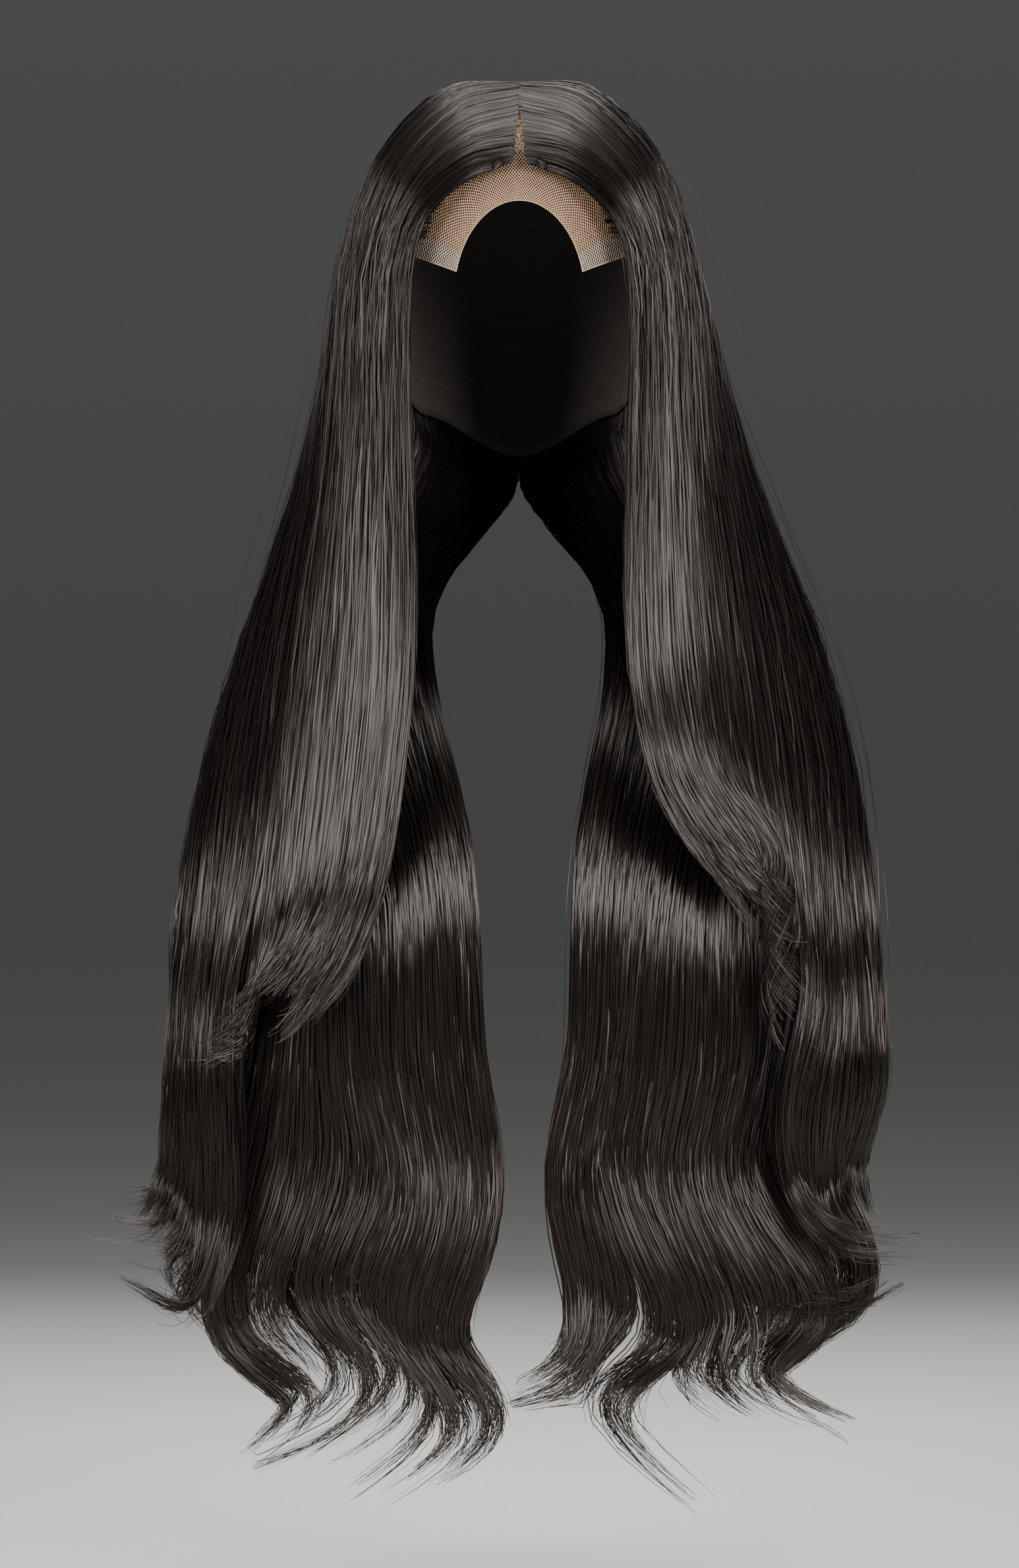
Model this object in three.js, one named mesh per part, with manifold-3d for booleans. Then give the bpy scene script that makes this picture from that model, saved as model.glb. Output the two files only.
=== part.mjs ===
// Long centre-parted lace front wig, straight with waved ends, brought forward over both shoulders.
// Millimetres, +Z up, face side towards -Y. The origin is the inside of the cap at the top of the head.
import * as THREE from "three";
import { mergeVertices } from "three/addons/utils/BufferGeometryUtils.js";
import Module from "manifold-3d";

const wasm = await Module();
wasm.setup();

// Head space inside the cap: an egg, widest headRise below its top.
const headHalfWidth = 72;
const headHalfDepth = 93;
const headRise = 110;
const headDrop = 130;

// Cap and lace walls, with the clearance between layers.
const capWall = 1.2;
const laceWall = 1.0;
const layerGap = 0.6;
const partingHalfGap = 1.2;
const backHalfGap = 0.4;

// Lace front: angles from the face axis, and round it from the parting.
const laceCutAngle = 25.5;
const laceBackAngle = 53;
const tongueBackAngle = 104;
const tongueHalfTurn = 5.5;
const laceHalfTurn = 74;

// Hair: facets round a lock, its widest half width, how much neighbours overlap and the depth of the waves.
const lockFacets = 6;
const lockMostHalf = 21;
const lockOverlap = 0.74;
const waveDepth = 4;

const rad = THREE.MathUtils.degToRad;
const mix = THREE.MathUtils.lerp;
const ease = THREE.MathUtils.smoothstep;

const table = (columns, rows) =>
  rows.map((row) => Object.fromEntries(columns.map((name, i) => [name, row[i]])));

// Value of a table column at a place along its first column, eased between the rows.
const along = (rows, key, name, at) => {
  const next = rows.findIndex((row) => row[key] >= at);
  if (next <= 0) return (next === 0 ? rows[0] : rows.at(-1))[name];
  const [a, b] = [rows[next - 1], rows[next]];
  return mix(a[name], b[name], ease(at, a[key], b[key]));
};

// Rim of the cap by turn from the face: how far down the head it reaches.
const capRim = table(
  ["turn", "down"],
  [
    [0, 38],
    [38, 52],
    [66, 82],
    [96, 88],
    [135, 112],
    [180, 122],
  ],
);

// A lock by stage: four on the head, then neck, shoulder, chest, fall, three bends and the tip.
// The half width holds from the fall down. Above it a lock is as wide as the space between its neighbours.
const lockBody = table(
  ["stage", "halfThick", "halfWide"],
  [
    [0, 2.0, 15],
    [3, 4.2, 15],
    [4, 4.8, 15],
    [6, 5.4, 15],
    [7, 5.4, 15],
    [8, 5.2, 15],
    [9, 4.6, 12],
    [10, 3.6, 9],
    [11, 0.7, 1],
  ],
);
const chestStage = 6;
const tipStage = 11;

// Front locks, face edge first: depth at the parting and beside the ear as a share of the head's half
// depth, and lift beside the ear.
const frontRoots = table(
  ["rootDepth", "earDepth", "earLift", "short"],
  [
    [-0.71, -0.67, 13, true],
    [-0.44, -0.37, 13.5, false],
    [-0.16, -0.04, 14, false],
    [0.1, 0.25, 15.5, false],
  ],
);

// Crown locks, side first: turn from the back of the head, and lift over the top and at ear level.
const crownRoots = table(
  ["turn", "topLift", "earLift"],
  [
    [60, 7, 6.4],
    [36, 9.5, 8.8],
    [12, 9.5, 9],
  ],
);

// Nape locks, middle first: turn from the back of the head and place down the cap.
const napeRoots = table(
  ["turn", "rootDown"],
  [
    [13, 114],
    [38, 108],
    [62, 100],
    [84, 92],
  ],
);

// Where locks pass the neck and go over the shoulder: out from the middle, depth and height.
const fallColumns = ["neckOut", "neckY", "neckZ", "overOut", "overY", "overZ"];
const frontFallLeft = table(fallColumns, [
  [66, -74, -186, 72, -85, -300],
  [84, -52, -185, 97, -76, -299],
  [98, -18, -183, 121, -52, -299],
  [103, 16, -181, 138, -20, -299],
]);
const frontFallRight = table(fallColumns, [
  [67, -74, -186, 73, -85, -287],
  [85, -52, -185, 99, -76, -290],
  [102, -18, -183, 127, -52, -299],
  [110, 16, -181, 149, -20, -299],
]);
const crownFall = table(fallColumns, [
  [85, 47, -181, 122, 13, -293],
  [56, 76, -181, 102, 34, -279],
  [20, 95, -181, 70, 50, -261],
]);
const napeFall = table(fallColumns, [
  [44, 60, -226, 60, -6, -279],
  [66, 48, -226, 86, -4, -287],
  [82, 34, -226, 106, -8, -299],
  [90, 20, -226, 120, -14, -307],
]);

// From the chest down: the depth a lock hangs at, then its fall, three bends and tip.
const endColumns = [
  ["chestOut", "chestY", "chestZ", "fallOut", "fallZ", "bendOut", "bendZ"],
  ["turnOut", "turnZ", "curlOut", "curlZ", "tipOut", "tipZ"],
].flat();
const frontEndsLeft = table(endColumns, [
  [84, -100, -386, 91, -412, 99, -430, 109, -444, 121, -456, 138, -465],
  [110, -98, -396, 115, -422, 124, -441, 135, -457, 146, -468, 160, -477],
  [136, -86, -403, 144, -468, 143, -526, 145, -571, 158, -606, 182, -599],
  [156, -60, -404, 161, -468, 164, -521, 169, -552, 182, -569, 203, -575],
]);
const frontEndsRight = table(endColumns, [
  [83, -100, -338, 95, -361, 107, -377, 118, -390, 129, -400, 141, -411],
  [110, -98, -354, 124, -377, 130, -399, 116, -435, 136, -465, 177, -481],
  [140, -86, -403, 141, -455, 131, -509, 138, -548, 157, -572, 188, -582],
  [162, -60, -404, 167, -455, 168, -501, 159, -537, 164, -560, 181, -574],
]);
const crownEndsLeft = table(endColumns, [
  [148, -36, -404, 153, -469, 156, -509, 162, -538, 172, -558, 188, -567],
  [110, -58, -400, 104, -482, 111, -537, 141, -563, 169, -594, 148, -625],
  [86, -68, -397, 92, -488, 107, -546, 113, -592, 76, -647, 121, -688],
]);
const crownEndsRight = table(endColumns, [
  [156, -36, -404, 156, -483, 148, -545, 168, -599, 119, -638, 165, -684],
  [126, -58, -400, 120, -482, 108, -544, 131, -588, 154, -604, 177, -599],
  [88, -68, -397, 87, -481, 84, -543, 98, -585, 127, -606, 166, -608],
]);
const napeEndsLeft = table(endColumns, [
  [38, -80, -386, 32, -481, 24, -555, 41, -620, 14, -665, 45, -710],
  [59, -82, -397, 56, -487, 46, -555, 61, -613, 35, -662, 70, -708],
  [83, -80, -406, 79, -487, 69, -545, 87, -597, 61, -639, 93, -685],
  [114, -70, -411, 118, -481, 128, -540, 142, -614, 103, -650, 128, -690],
]);
const napeEndsRight = table(endColumns, [
  [43, -80, -386, 39, -481, 28, -542, 37, -597, 30, -630, 2, -658],
  [64, -82, -397, 57, -487, 51, -545, 80, -621, 40, -652, 76, -711],
  [88, -80, -406, 85, -487, 75, -545, 98, -607, 88, -639, 104, -668],
  [121, -70, -411, 121, -481, 111, -543, 147, -608, 114, -640, 154, -678],
]);

// Point at a lift outside the head space, by a direction in its own proportions.
function onHead(x, y, z, lift) {
  const direction = new THREE.Vector3(x, y, z).normalize();
  const half = new THREE.Vector3(headHalfWidth, headHalfDepth, z < 0 ? headDrop : headRise);
  const point = direction.clone().multiply(half);
  const outward = direction.divide(half).normalize();
  return point.addScaledVector(outward, lift).add(new THREE.Vector3(0, 0, -headRise));
}

// From the face axis: an angle away from it and a turn round it from the parting.
const fromFace = (angle, turn, lift) =>
  onHead(Math.sin(angle) * Math.sin(turn), -Math.cos(angle), Math.sin(angle) * Math.cos(turn), lift);

// From the crown: a turn from the face and an angle down.
const fromCrown = (turn, down, lift) =>
  onHead(Math.sin(down) * Math.sin(turn), -Math.sin(down) * Math.cos(turn), Math.cos(down), lift);

function meshOf(points, faces) {
  const geometry = new THREE.BufferGeometry();
  const places = points.flatMap((point) => [point.x, point.y, point.z]);
  geometry.setAttribute("position", new THREE.Float32BufferAttribute(places, 3));
  geometry.setIndex(faces);
  return geometry;
}

function solidOf(geometry) {
  const welded = mergeVertices(geometry, 1e-4);
  return new wasm.Manifold(
    new wasm.Mesh({
      numProp: 3,
      vertProperties: new Float32Array(welded.attributes.position.array),
      triVerts: new Uint32Array(welded.index.array),
    }),
  );
}

function geometryOf(solid) {
  const mesh = solid.getMesh();
  const geometry = new THREE.BufferGeometry();
  geometry.setAttribute("position", new THREE.BufferAttribute(new Float32Array(mesh.vertProperties), 3));
  geometry.setIndex(new THREE.BufferAttribute(new Uint32Array(mesh.triVerts), 1));
  return geometry;
}

// A wall between two grids of the same size, over the cells that it has, closed along its edges.
function wallOf(outer, inner, has) {
  const rows = outer.length;
  const columns = outer[0].length;
  const faces = [];
  const quad = (a, b, c, d) => faces.push(a, b, c, a, c, d);
  const top = (r, c) => r * columns + c;
  const under = (r, c) => rows * columns + r * columns + c;
  const edge = (r, c, s, d) => quad(top(s, d), top(r, c), under(r, c), under(s, d));
  const filled = (r, c) => r >= 0 && c >= 0 && r + 1 < rows && c + 1 < columns && has(r, c);
  for (let r = 0; r + 1 < rows; r++) {
    for (let c = 0; c + 1 < columns; c++) {
      if (!filled(r, c)) continue;
      quad(top(r, c), top(r, c + 1), top(r + 1, c + 1), top(r + 1, c));
      quad(under(r, c), under(r + 1, c), under(r + 1, c + 1), under(r, c + 1));
      if (!filled(r - 1, c)) edge(r, c, r, c + 1);
      if (!filled(r, c + 1)) edge(r, c + 1, r + 1, c + 1);
      if (!filled(r + 1, c)) edge(r + 1, c + 1, r + 1, c);
      if (!filled(r, c - 1)) edge(r + 1, c, r, c);
    }
  }
  return meshOf([...outer.flat(), ...inner.flat()], faces);
}

// Cap: a dome whose rings run from the crown to the rim, with an even wall.
function capGeometry() {
  const turns = 32;
  const rings = 8;
  const points = [];
  const faces = [];
  const shells = [capWall, 0].map((lift) => {
    const start = points.length;
    points.push(onHead(0, 0, 1, lift));
    for (let r = 1; r <= rings; r++) {
      for (let t = 0; t < turns; t++) {
        const turn = (360 * t) / turns;
        const rim = along(capRim, "turn", "down", Math.min(turn, 360 - turn));
        points.push(fromCrown(rad(turn), rad((rim * r) / rings), lift));
      }
    }
    return start;
  });
  const at = (start, r, t) => start + 1 + (r - 1) * turns + (t % turns);
  shells.forEach((start, inside) => {
    const add = (a, b, c) => (inside ? faces.push(a, c, b) : faces.push(a, b, c));
    for (let t = 0; t < turns; t++) {
      add(start, at(start, 1, t), at(start, 1, t + 1));
      for (let r = 1; r < rings; r++) {
        add(at(start, r, t), at(start, r + 1, t), at(start, r + 1, t + 1));
        add(at(start, r, t), at(start, r + 1, t + 1), at(start, r, t + 1));
      }
    }
  });
  const [outside, within] = shells;
  for (let t = 0; t < turns; t++) {
    faces.push(at(outside, rings, t), at(within, rings, t), at(within, rings, t + 1));
    faces.push(at(outside, rings, t), at(within, rings, t + 1), at(outside, rings, t + 1));
  }
  return meshOf(points, faces);
}

// Lace: a band from temple to temple, and a tongue back along the parting from its middle.
function laceGeometry() {
  const halfTurns = [tongueHalfTurn, 16, 26, 36, 46, 56, 65, laceHalfTurn];
  const turns = [...halfTurns.map((turn) => -turn).reverse(), 0, ...halfTurns];
  const bandRows = 5;
  const tongueRows = 9;
  const steps = (count, from, to) => Array.from({ length: count }, (_, r) => mix(from, to, r / count));
  const angles = [
    ...steps(bandRows, laceCutAngle, laceBackAngle),
    ...steps(tongueRows, laceBackAngle, tongueBackAngle),
    tongueBackAngle,
  ];
  const sheet = (lift) => angles.map((angle) => turns.map((turn) => fromFace(rad(angle), rad(turn), lift)));
  const has = (r, c) => r < bandRows || Math.abs(turns[c] + turns[c + 1]) < 2 * tongueHalfTurn;
  const inside = capWall + layerGap;
  return wallOf(sheet(inside + laceWall), sheet(inside), has);
}

// Front roots: from the parting straight down the side of the head at a nearly even depth.
function frontRoot(row) {
  const topLift = mix(8, 12, ease(row.rootDepth, -0.6, 0));
  const places = [
    [-1.5, 5.3],
    [24, topLift],
    [50, row.earLift],
    [74, row.earLift],
  ];
  return places.map(([turn, lift]) => {
    const depth = mix(row.rootDepth, row.earDepth, turn / 74);
    return fromFace(Math.acos(-depth), rad(-turn), lift);
  });
}

// Crown roots: from the end of the parting, fanning down the back of the head.
function crownRoot(row) {
  const crown = new THREE.Vector3(0, 0.29, 0.957);
  const level = new THREE.Vector3(-Math.sin(rad(row.turn)), Math.cos(rad(row.turn)), -0.05);
  const places = [
    [0.1, 5.3],
    [0.35, row.topLift],
    [0.65, row.earLift],
    [1, row.earLift],
  ];
  return places.map(([share, lift]) => {
    const way = crown.clone().lerp(level, share);
    return onHead(way.x, way.y, way.z, lift);
  });
}

// Nape roots: from the lower edge of the cap, lifting off it as they drop.
function napeRoot(row) {
  const places = [
    [0, 4],
    [4, 5],
    [8, 6.2],
    [12, 7],
  ];
  return places.map(([drop, lift]) => fromCrown(rad(180 + row.turn), rad(row.rootDown + drop), lift));
}

// Middle line of a lock on the viewer's left, smooth from its root through the falls to its tip.
function lockLine(root, fall, end) {
  const points = [...root];
  const add = (out, y, z) => points.push(new THREE.Vector3(-out, y, z));
  add(fall.neckOut, fall.neckY, fall.neckZ);
  add(fall.overOut, fall.overY, fall.overZ);
  add(end.chestOut, end.chestY, end.chestZ);
  add(end.fallOut, end.chestY, end.fallZ);
  add(end.bendOut, end.chestY - waveDepth, end.bendZ);
  add(end.turnOut, end.chestY + waveDepth, end.turnZ);
  add(end.curlOut, end.chestY - waveDepth, end.curlZ);
  add(end.tipOut, end.chestY, end.tipZ);
  return new THREE.CatmullRomCurve3(points, false, "centripetal");
}

// Stages that a lock has a section at: closer together in the waves.
function stagesOf(headSteps, endSteps) {
  const steps = Array.from({ length: tipStage }, (_, i) => {
    if (i < 3) return headSteps;
    return i < chestStage ? 2 : Math.min(endSteps, i - chestStage + 1);
  });
  return [...steps.flatMap((count, i) => Array.from({ length: count }, (_, k) => i + k / count)), tipStage];
}

// Step from a lock to the next one across the hair, following its curve at the first and last lock.
function stepAcross(points, index) {
  const last = points.length - 1;
  const weights = index === 0 ? [-1.5, 2, -0.5] : index === last ? [0.5, -2, 1.5] : [-0.5, 0, 0.5];
  const first = Math.min(Math.max(index - 1, 0), last - 2);
  const step = new THREE.Vector3();
  weights.forEach((weight, i) => step.addScaledVector(points[first + i], weight));
  return step;
}

// One lock: a flattened tube along its middle line.
function lockSolid(lines, index, stages, keepOut, side) {
  const points = [];
  const faces = [];
  const across = new THREE.Vector3();
  let chestWide = 0;
  for (const stage of stages) {
    const at = (line, step = 0) => line.getPoint(Math.min(1, Math.max(0, (stage + step) / tipStage)));
    const ahead = at(lines[index], 0.02).sub(at(lines[index], -0.02)).normalize();
    if (stage <= chestStage) across.copy(stepAcross(lines.map((line) => at(line)), index));
    across.addScaledVector(ahead, -across.dot(ahead));
    if (stage <= chestStage) chestWide = Math.min(lockMostHalf, Math.max(4, lockOverlap * across.length()));
    across.normalize();
    const outward = new THREE.Vector3().crossVectors(ahead, across);
    const fallWide = along(lockBody, "stage", "halfWide", stage);
    const wide = mix(chestWide, fallWide, ease(stage, chestStage, chestStage + 1));
    const thick = along(lockBody, "stage", "halfThick", stage);
    for (let f = 0; f < lockFacets; f++) {
      const angle = (2 * Math.PI * f) / lockFacets;
      const point = at(lines[index]).addScaledVector(across, wide * Math.cos(angle));
      point.addScaledVector(outward, thick * Math.sin(angle));
      point.x = side * Math.max(-point.x, keepOut);
      points.push(point);
    }
  }
  for (let r = 0; r + 1 < stages.length; r++) {
    for (let f = 0; f < lockFacets; f++) {
      const g = (f + 1) % lockFacets;
      const [here, next] = [r * lockFacets, (r + 1) * lockFacets];
      faces.push(here + f, here + g, next + g, here + f, next + g, next + f);
    }
  }
  const end = (stages.length - 1) * lockFacets;
  for (let f = 1; f + 1 < lockFacets; f++) {
    faces.push(0, f + 1, f);
    faces.push(end, end + f, end + f + 1);
  }
  if (side > 0) faces.reverse();
  return solidOf(meshOf(points, faces));
}

// Locks of a group on one side, -1 for the viewer's left.
function groupLocks(roots, rootOf, falls, ends, headSteps, keepOut, side) {
  const lines = roots.map((row, i) => lockLine(rootOf(row), falls[i], ends[i]));
  return roots.map((row, i) => lockSolid(lines, i, stagesOf(headSteps, row.short ? 1 : 3), keepOut, side));
}

// Locks fused into one body, with closed pockets between them filled.
function fused(locks) {
  const whole = locks.reduce((all, lock) => all.add(lock));
  const [body] = whole.decompose().sort((a, b) => b.volume() - a.volume());
  return geometryOf(body);
}

function frontHair(falls, ends, side) {
  return fused(groupLocks(frontRoots, frontRoot, falls, ends, 2, partingHalfGap, side));
}

function backHair(crownEnds, napeEnds, side) {
  const crown = groupLocks(crownRoots, crownRoot, crownFall, crownEnds, 2, backHalfGap, side);
  const nape = groupLocks(napeRoots, napeRoot, napeFall, napeEnds, 1, backHalfGap, side);
  return fused([...crown, ...nape]);
}

const hairMaterial = new THREE.MeshStandardMaterial({ color: 0x2a2422, roughness: 0.42, metalness: 0 });
const laceMaterial = new THREE.MeshStandardMaterial({ color: 0xb99a78, roughness: 0.8, metalness: 0 });
const capMaterial = new THREE.MeshStandardMaterial({ color: 0x1d1917, roughness: 0.85, metalness: 0 });

const pieces = [
  ["wig_cap", capGeometry(), capMaterial],
  ["lace_front", laceGeometry(), laceMaterial],
  ["front_hair_left", frontHair(frontFallLeft, frontEndsLeft, -1), hairMaterial],
  ["front_hair_right", frontHair(frontFallRight, frontEndsRight, 1), hairMaterial],
  ["back_hair_left", backHair(crownEndsLeft, napeEndsLeft, -1), hairMaterial],
  ["back_hair_right", backHair(crownEndsRight, napeEndsRight, 1), hairMaterial],
];

const wig = new THREE.Group();
wig.name = "lace_front_wig";
for (const [name, geometry, material] of pieces) {
  const mesh = new THREE.Mesh(geometry, material);
  mesh.name = name;
  wig.add(mesh);
}

export default wig;
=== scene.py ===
import math

import bmesh
import bpy
import numpy as np
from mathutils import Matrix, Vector


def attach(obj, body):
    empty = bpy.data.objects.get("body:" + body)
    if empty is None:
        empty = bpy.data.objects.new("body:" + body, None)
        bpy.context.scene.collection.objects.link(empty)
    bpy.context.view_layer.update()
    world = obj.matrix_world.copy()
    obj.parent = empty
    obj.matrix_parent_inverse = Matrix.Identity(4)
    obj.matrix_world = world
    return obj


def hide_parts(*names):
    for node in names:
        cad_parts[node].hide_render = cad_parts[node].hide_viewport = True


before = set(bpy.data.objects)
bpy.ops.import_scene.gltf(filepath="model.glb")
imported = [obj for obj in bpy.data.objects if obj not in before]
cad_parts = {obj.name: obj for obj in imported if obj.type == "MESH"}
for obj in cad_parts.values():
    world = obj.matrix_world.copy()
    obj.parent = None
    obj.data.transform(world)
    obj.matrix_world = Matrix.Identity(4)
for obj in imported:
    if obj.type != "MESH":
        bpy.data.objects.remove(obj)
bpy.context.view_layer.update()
mm = 0.001
print("frame loaded")

# Camera and studio light


def studioColour(hexValue):
    # sRGB hex to linear, opaque
    parts = [int(hexValue[i:i + 2], 16) / 255 for i in (1, 3, 5)]
    return [p / 12.92 if p <= 0.04045 else ((p + 0.055) / 1.055) ** 2.4 for p in parts] + [1]


def addNode(tree, kind, settings=None, links=None):
    # one node, its settings and the outputs that feed its inputs
    node = tree.nodes.new(kind)
    for name, value in (settings or {}).items():
        if isinstance(name, str) and name in node.bl_rna.properties:
            setattr(node, name, value)
        else:
            node.inputs[name].default_value = value
    for name, output in (links or {}).items():
        tree.links.new(output, node.inputs[name])
    return node


def newMaterial(name):
    material = bpy.data.materials.new(name)
    material.use_nodes = True
    tree = material.node_tree
    tree.nodes.clear()
    return material, tree


def linkObject(name, mesh):
    obj = bpy.data.objects.new(name, mesh)
    bpy.context.scene.collection.objects.link(obj)
    return obj


view = {
    "place": (-4.85, -3200, -348),  # mm
    "lens": 145.8, "sensor": 36,
}
cameraData = bpy.data.cameras.new("camera")
cameraData.lens = view["lens"]
cameraData.sensor_width = view["sensor"]
cameraData.clip_end = 50
camera = bpy.data.objects.new("camera", cameraData)
camera.location = [x * mm for x in view["place"]]
camera.rotation_euler = (math.radians(90), 0, 0)
bpy.context.scene.collection.objects.link(camera)
bpy.context.scene.camera = camera

softboxes = [
    # name, place m, size m, watts, aim m
    ("softbox_left", (-1.6, -2.3, 0.44), (1.1, 1.4), 21, (0, 0, -0.25)),
    ("softbox_right", (1.6, -2.3, 0.44), (1.1, 1.4), 24, (0, 0, -0.25)),
    ("softbox_top", (0, -0.3, 2.1), (1.6, 1.2), 13, (0, 0, -0.1)),
    ("softbox_back", (0.2, 2.4, 1.1), (1.8, 1.4), 23, (0, 0, -0.3)),
]
boxSpread = 75  # degrees
room = {"level": 0.062, "above": 0.162}  # grey at the horizon and overhead
for name, place, size, watts, aim in softboxes:
    lamp = bpy.data.lights.new(name, "AREA")
    lamp.shape = "RECTANGLE"
    lamp.size, lamp.size_y = size
    lamp.energy = watts
    lamp.spread = math.radians(boxSpread)
    box = bpy.data.objects.new(name, lamp)
    box.location = place
    box.rotation_euler = (Vector(aim) - Vector(place)).to_track_quat("-Z", "Y").to_euler()
    bpy.context.scene.collection.objects.link(box)

world = bpy.data.worlds.new("studio")  # soft grey room, lighter above
world.use_nodes = True
tree = world.node_tree
tree.nodes.clear()
way = addNode(tree, "ShaderNodeTexCoord")
parts = addNode(tree, "ShaderNodeSeparateXYZ", links={"Vector": way.outputs["Generated"]})
grey = addNode(tree, "ShaderNodeMapRange", {"To Min": room["level"], "To Max": room["above"]},
               {"Value": parts.outputs["Z"]})
backing = addNode(tree, "ShaderNodeBackground", links={"Color": grey.outputs[0]})
addNode(tree, "ShaderNodeOutputWorld", links={"Surface": backing.outputs[0]})
bpy.context.scene.world = world

# Pale paper floor
ground = {"z": -0.76, "radius": 14, "around": 96, "colour": "#b4b4b2", "roughness": 0.9}  # m
bm = bmesh.new()
bmesh.ops.create_circle(bm, cap_ends=True, segments=ground["around"], radius=ground["radius"])
bmesh.ops.translate(bm, verts=bm.verts, vec=(0, 0, ground["z"]))
floorMesh = bpy.data.meshes.new("floor")
bm.to_mesh(floorMesh)
bm.free()
floor = linkObject("floor", floorMesh)
paper, tree = newMaterial("matt_studio_paper")  # even, pale and without gloss
shader = addNode(tree, "ShaderNodeBsdfPrincipled",
                 {"Base Color": studioColour(ground["colour"]), "Roughness": ground["roughness"]})
addNode(tree, "ShaderNodeOutputMaterial", links={"Surface": shader.outputs[0]})
floorMesh.materials.append(paper)
print("camera, light and floor made")

# Inside of the cap, which everything lies on

capForm = {"halfWidth": 72, "halfDepth": 93, "rise": 110, "drop": 130}  # mm, from its middle


def unit(ways):
    return ways / np.maximum(np.linalg.norm(ways, axis=-1, keepdims=True), 1e-12)


def ease(value, low, high):
    t = np.clip((value - low) / (high - low), 0, 1)
    return t * t * (3 - 2 * t)


def onCap(x, y, z, lift):
    # place at a lift outside the cap's inside, by a direction in its own proportions
    way = unit(np.stack(np.broadcast_arrays(x, y, z), -1).astype(float))
    rise = np.where(way[..., 2] < 0, capForm["drop"], capForm["rise"])
    sides = capForm["halfWidth"], capForm["halfDepth"]
    half = np.stack(np.broadcast_arrays(*sides, rise), -1)
    outward = unit(way / half)
    return way * half + outward * np.asarray(lift, float)[..., None] - (0, 0, capForm["rise"])


def fromFront(angle, turn, lift):
    # angle from the front axis and turn round it from the parting
    return onCap(np.sin(angle) * np.sin(turn), -np.cos(angle), np.sin(angle) * np.cos(turn), lift)


def fromCrown(turn, down, lift):
    # turn from the front and angle down from the crown
    return onCap(np.sin(down) * np.sin(turn), -np.sin(down) * np.cos(turn), np.cos(down), lift)


# Hair: locks as in the solids, each a smooth line from its root to its tip

locks = {
    "parted": 6,  # stage where locks part from each other
    "tip": 11,
    "grain": 0.05,  # stage step of the stored lines
    "overlap": 0.74,  # half width of a lock as a share of the space between neighbours
    "halfRange": (4, 21),  # mm
    "waveDepth": 4,
    "round": 0.45,  # stages over which the bends of the ends are rounded
    "tipCurl": (9.8, 9, 8),  # stage where tips start to turn up, mm aside and up at the tip
    "swing": (3.2, -597, 130),  # waves through all the long ends: depth, height of a crest, length, mm
    # stage, half thickness, half width, mm
    "body": [(0, 0.8, 15), (1, 2.8, 15), (3, 4.2, 15), (4, 4.8, 15), (6, 5.4, 15), (7, 5.4, 15),
             (8, 5.2, 15), (9, 4.6, 12), (10, 3.8, 9.5), (11, 2.2, 5)],
}

# depth at the parting and at the side as a share of the cap's half depth, lift at the side
frontRoots = [(-0.71, -0.67, 13), (-0.44, -0.37, 13.5), (-0.16, -0.04, 14), (0.1, 0.25, 15.5)]
# turn from the centre back, lift over the top and at the side
crownRoots = [(60, 7, 6.4), (36, 9.5, 8.8), (12, 9.5, 9)]
# turn from the centre back and angle down from the crown
napeRoots = [(13, 114), (38, 108), (62, 100), (84, 92)]

# beside the nape and where the lock turns forward: out, depth and height of both, mm
frontFallLeft = [
    (66, -74, -186, 72, -85, -300),
    (84, -52, -185, 97, -76, -299),
    (98, -18, -183, 121, -52, -299),
    (103, 16, -181, 138, -20, -299),
]
frontFallRight = [
    (67, -74, -186, 73, -85, -287),
    (85, -52, -185, 99, -76, -290),
    (102, -18, -183, 127, -52, -299),
    (110, 16, -181, 149, -20, -299),
]
crownFall = [(85, 47, -181, 122, 13, -293), (56, 76, -181, 102, 34, -279), (20, 95, -181, 70, 50, -261)]
napeFall = [
    (44, 60, -226, 60, -6, -279),
    (66, 48, -226, 86, -4, -287),
    (82, 34, -226, 106, -8, -299),
    (90, 20, -226, 120, -14, -307),
]

# where locks part: out, depth and height, then out and height of the fall, three bends and the tip, mm
frontEndsLeft = [
    (84, -100, -386, 91, -412, 99, -430, 109, -444, 121, -456, 138, -465),
    (110, -98, -396, 115, -422, 124, -441, 135, -457, 146, -468, 160, -477),
    (136, -86, -403, 144, -468, 143, -526, 145, -571, 158, -606, 182, -599),
    (156, -60, -404, 161, -468, 164, -521, 169, -552, 182, -569, 203, -575),
]
frontEndsRight = [
    (83, -100, -338, 95, -361, 107, -377, 118, -390, 129, -400, 141, -411),
    (110, -98, -354, 124, -377, 130, -399, 116, -435, 136, -465, 177, -481),
    (140, -86, -403, 141, -455, 131, -509, 138, -548, 157, -572, 188, -582),
    (162, -60, -404, 167, -455, 168, -501, 159, -537, 164, -560, 181, -574),
]
crownEndsLeft = [
    (148, -36, -404, 153, -469, 156, -509, 162, -538, 172, -558, 188, -567),
    (110, -58, -400, 104, -482, 111, -537, 141, -563, 169, -594, 148, -625),
    (86, -68, -397, 92, -488, 107, -546, 113, -592, 76, -647, 121, -688),
]
crownEndsRight = [
    (156, -36, -404, 156, -483, 148, -545, 168, -599, 119, -638, 165, -684),
    (126, -58, -400, 120, -482, 108, -544, 131, -588, 154, -604, 177, -599),
    (88, -68, -397, 87, -481, 84, -543, 98, -585, 127, -606, 166, -608),
]
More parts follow.
